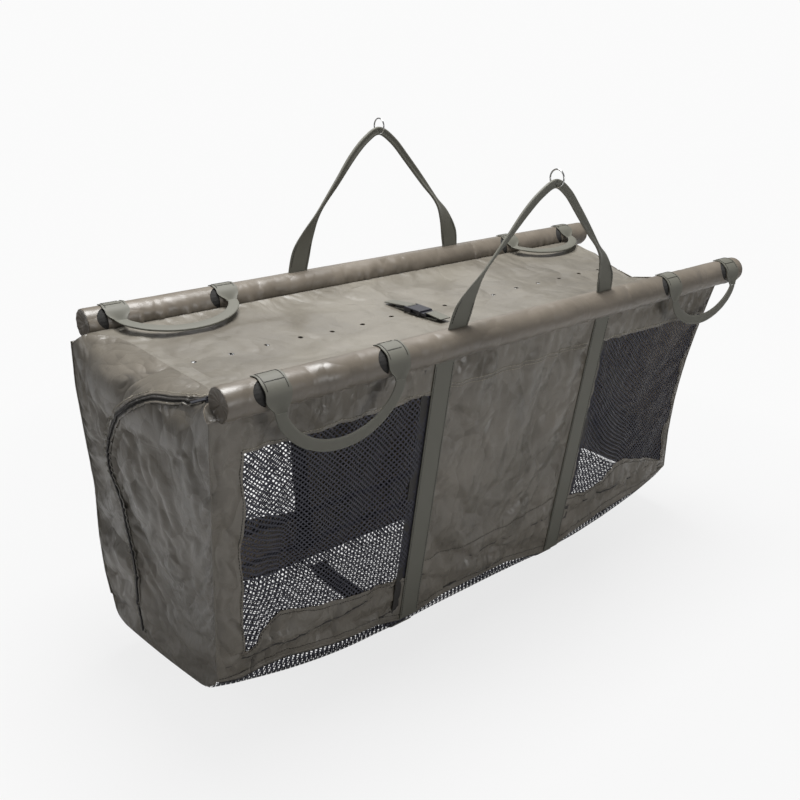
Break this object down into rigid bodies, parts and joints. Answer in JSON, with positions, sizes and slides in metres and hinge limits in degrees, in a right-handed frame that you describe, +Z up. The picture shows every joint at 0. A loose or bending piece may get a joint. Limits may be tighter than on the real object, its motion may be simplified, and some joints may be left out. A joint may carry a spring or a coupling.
{
  "type": "weigh sling",
  "caption": "Carp weigh sling: padded float bars carry a soft bag with mesh windows, mesh base, zipped lid, carry handles and hanging straps with rings.",
  "frame": {"origin": "centre of the bottom of the box round the sling, on the ground", "axes": "+X along the bars, +Z up, -Y towards the front bar"},
  "size_m": [1.2402, 0.4566, 0.8323],
  "materials": {
    "lid_cloth": "coated woven polyester, light olive grey",
    "side_cloth": "coated woven polyester, dark taupe",
    "sleeve_cloth": "coated woven polyester over foam",
    "webbing": "woven polypropylene webbing, grey green",
    "mesh": "soft knotless mesh, bluish black",
    "foam": "closed-cell foam float",
    "alloy": "drawn tube",
    "steel": "bright welded ring",
    "black_plastic": "moulded black acetal",
    "zip": "nylon coil"
  },
  "bodies": {
    "root": {"base_net": "mesh", "base_webbing_left": "webbing", "base_webbing_right": "webbing", "left_end_panel": "side_cloth", "right_end_panel": "side_cloth", "left_end_zip": "zip", "right_end_zip": "zip", "lid_rear_panel": "lid_cloth"},
    "front_bar": {"front_bar_tube": "alloy", "front_bar_foam": "foam", "front_bar_sleeve": "sleeve_cloth", "front_bar_cap_left": "sleeve_cloth", "front_bar_cap_right": "sleeve_cloth", "front_tab_1": "webbing", "front_tab_2": "webbing", "front_tab_3": "webbing", "front_tab_4": "webbing", "lid_zip": "zip"},
    "rear_bar": {"rear_bar_tube": "alloy", "rear_bar_foam": "foam", "rear_bar_sleeve": "sleeve_cloth", "rear_bar_cap_left": "sleeve_cloth", "rear_bar_cap_right": "sleeve_cloth", "rear_tab_1": "webbing", "rear_tab_2": "webbing", "rear_tab_3": "webbing", "rear_tab_4": "webbing"},
    "front_wall": {"front_wall_panel": "side_cloth", "front_net_left": "mesh", "front_net_right": "mesh", "front_wall_webbing_left": "webbing", "front_wall_webbing_right": "webbing"},
    "rear_wall": {"rear_wall_panel": "side_cloth", "rear_net_left": "mesh", "rear_net_right": "mesh", "rear_wall_webbing_left": "webbing", "rear_wall_webbing_right": "webbing"},
    "lid_flap": {"lid_flap_panel": "lid_cloth"},
    "buckle": {"buckle_tab": "webbing", "buckle_female": "black_plastic"},
    "buckle_male": {"buckle_male": "black_plastic", "buckle_tail": "webbing"},
    "buckle_prong_left": {"buckle_prong_left": "black_plastic"},
    "buckle_prong_right": {"buckle_prong_right": "black_plastic"},
    "zip_slider": {"zip_slider": "black_plastic"},
    "zip_puller": {"zip_puller": "black_plastic"},
    "front_hanging_strap": {"front_hanging_strap": "webbing"},
    "front_ring": {"front_ring": "steel"},
    "front_handle_left": {"front_handle_left": "webbing"},
    "front_handle_right": {"front_handle_right": "webbing"},
    "rear_hanging_strap": {"rear_hanging_strap": "webbing"},
    "rear_ring": {"rear_ring": "steel"},
    "rear_handle_left": {"rear_handle_left": "webbing"},
    "rear_handle_right": {"rear_handle_right": "webbing"}
  },
  "joints": [
    {"name": "bars_fold", "type": "slide", "parent": "root", "child": "front_bar", "axis": [0, 1, 0], "range_m": [0, 0.166], "deforming": ["base_net", "base_webbing_left", "base_webbing_right", "left_end_panel", "right_end_panel", "left_end_zip", "right_end_zip", "lid_rear_panel", "lid_flap_panel"]},
    {"name": "rear_bar_fold", "type": "slide", "parent": "root", "child": "rear_bar", "axis": [0, -1, 0], "range_m": [0, 0.089]},
    {"name": "front_wall_hang", "type": "hinge", "parent": "front_bar", "child": "front_wall", "pos_m": [0.02005, -0.18966, 0.5555], "axis": [-1, 0, 0], "range_deg": [0, 4.3]},
    {"name": "rear_wall_hang", "type": "hinge", "parent": "rear_bar", "child": "rear_wall", "pos_m": [0.02005, 0.20434, 0.5555], "axis": [1, 0, 0], "range_deg": [0, 4.3]},
    {"name": "lid_open", "type": "hinge", "parent": "root", "child": "lid_flap", "pos_m": [-0.00795, 0.06734, 0.54129], "axis": [1, 0, 0], "range_deg": [-105, 0]},
    {"name": "buckle_lift", "type": "hinge", "parent": "lid_flap", "child": "buckle", "pos_m": [-0.08395, 0.06234, 0.54142], "axis": [-1, 0, 0], "range_deg": [0, 82.5]},
    {"name": "buckle_release", "type": "slide", "parent": "buckle", "child": "buckle_male", "axis": [0, -1, 0], "range_m": [0, 0.025]},
    {"name": "prong_squeeze_left", "type": "hinge", "parent": "buckle_male", "child": "buckle_prong_left", "pos_m": [-0.09525, -0.03266, 0.5474], "axis": [0, 0, -1], "range_deg": [0, 6], "stiffness_Nm_per_rad": 0.02},
    {"name": "prong_squeeze_right", "type": "hinge", "parent": "buckle_male", "child": "buckle_prong_right", "pos_m": [-0.07265, -0.03266, 0.5474], "axis": [0, 0, 1], "range_deg": [0, 6], "stiffness_Nm_per_rad": 0.02},
    {"name": "zip_slide", "type": "slide", "parent": "front_bar", "child": "zip_slider", "axis": [1, 0, 0], "range_m": [0, 1.12]},
    {"name": "puller_flip", "type": "hinge", "parent": "zip_slider", "child": "zip_puller", "pos_m": [-0.57295, -0.15516, 0.5519], "axis": [0, 1, 0], "range_deg": [0, 150]},
    {"name": "front_strap_swing", "type": "hinge", "parent": "front_bar", "child": "front_hanging_strap", "pos_m": [0.02005, -0.18966, 0.5555], "axis": [1, 0, 0], "range_deg": [-41, 95]},
    {"name": "front_ring_swing", "type": "hinge", "parent": "front_hanging_strap", "child": "front_ring", "pos_m": [0.00341, -0.21349, 0.78225], "axis": [1, 0, 0], "range_deg": [-100, 100]},
    {"name": "front_handle_left_swing", "type": "hinge", "parent": "front_bar", "child": "front_handle_left", "pos_m": [-0.40495, -0.21916, 0.5375], "axis": [-1, 0, 0], "range_deg": [0, 120]},
    {"name": "front_handle_right_swing", "type": "hinge", "parent": "front_bar", "child": "front_handle_right", "pos_m": [0.47855, -0.21916, 0.5375], "axis": [-1, 0, 0], "range_deg": [0, 120]},
    {"name": "rear_strap_swing", "type": "hinge", "parent": "rear_bar", "child": "rear_hanging_strap", "pos_m": [0.02005, 0.20434, 0.5555], "axis": [1, 0, 0], "range_deg": [-95, 35]},
    {"name": "rear_ring_swing", "type": "hinge", "parent": "rear_hanging_strap", "child": "rear_ring", "pos_m": [0.00249, 0.20434, 0.8145], "axis": [1, 0, 0], "range_deg": [-100, 100]},
    {"name": "rear_handle_left_swing", "type": "hinge", "parent": "rear_bar", "child": "rear_handle_left", "pos_m": [-0.43295, 0.17484, 0.5615], "axis": [-1, 0, 0], "range_deg": [0, 75]},
    {"name": "rear_handle_right_swing", "type": "hinge", "parent": "rear_bar", "child": "rear_handle_right", "pos_m": [0.45655, 0.17484, 0.5615], "axis": [-1, 0, 0], "range_deg": [0, 75]}
  ],
  "couplings": [
    {"joint": "rear_bar_fold", "follows": "bars_fold", "ratio": 0.53307},
    {"joint": "front_wall_hang", "follows": "bars_fold", "rad_per_m": 0.446},
    {"joint": "rear_wall_hang", "follows": "bars_fold", "rad_per_m": 0.446},
    {"joint": "buckle_lift", "follows": "bars_fold", "rad_per_m": 8.62},
    {"joint": "prong_squeeze_right", "follows": "prong_squeeze_left", "ratio": 1}
  ]
}
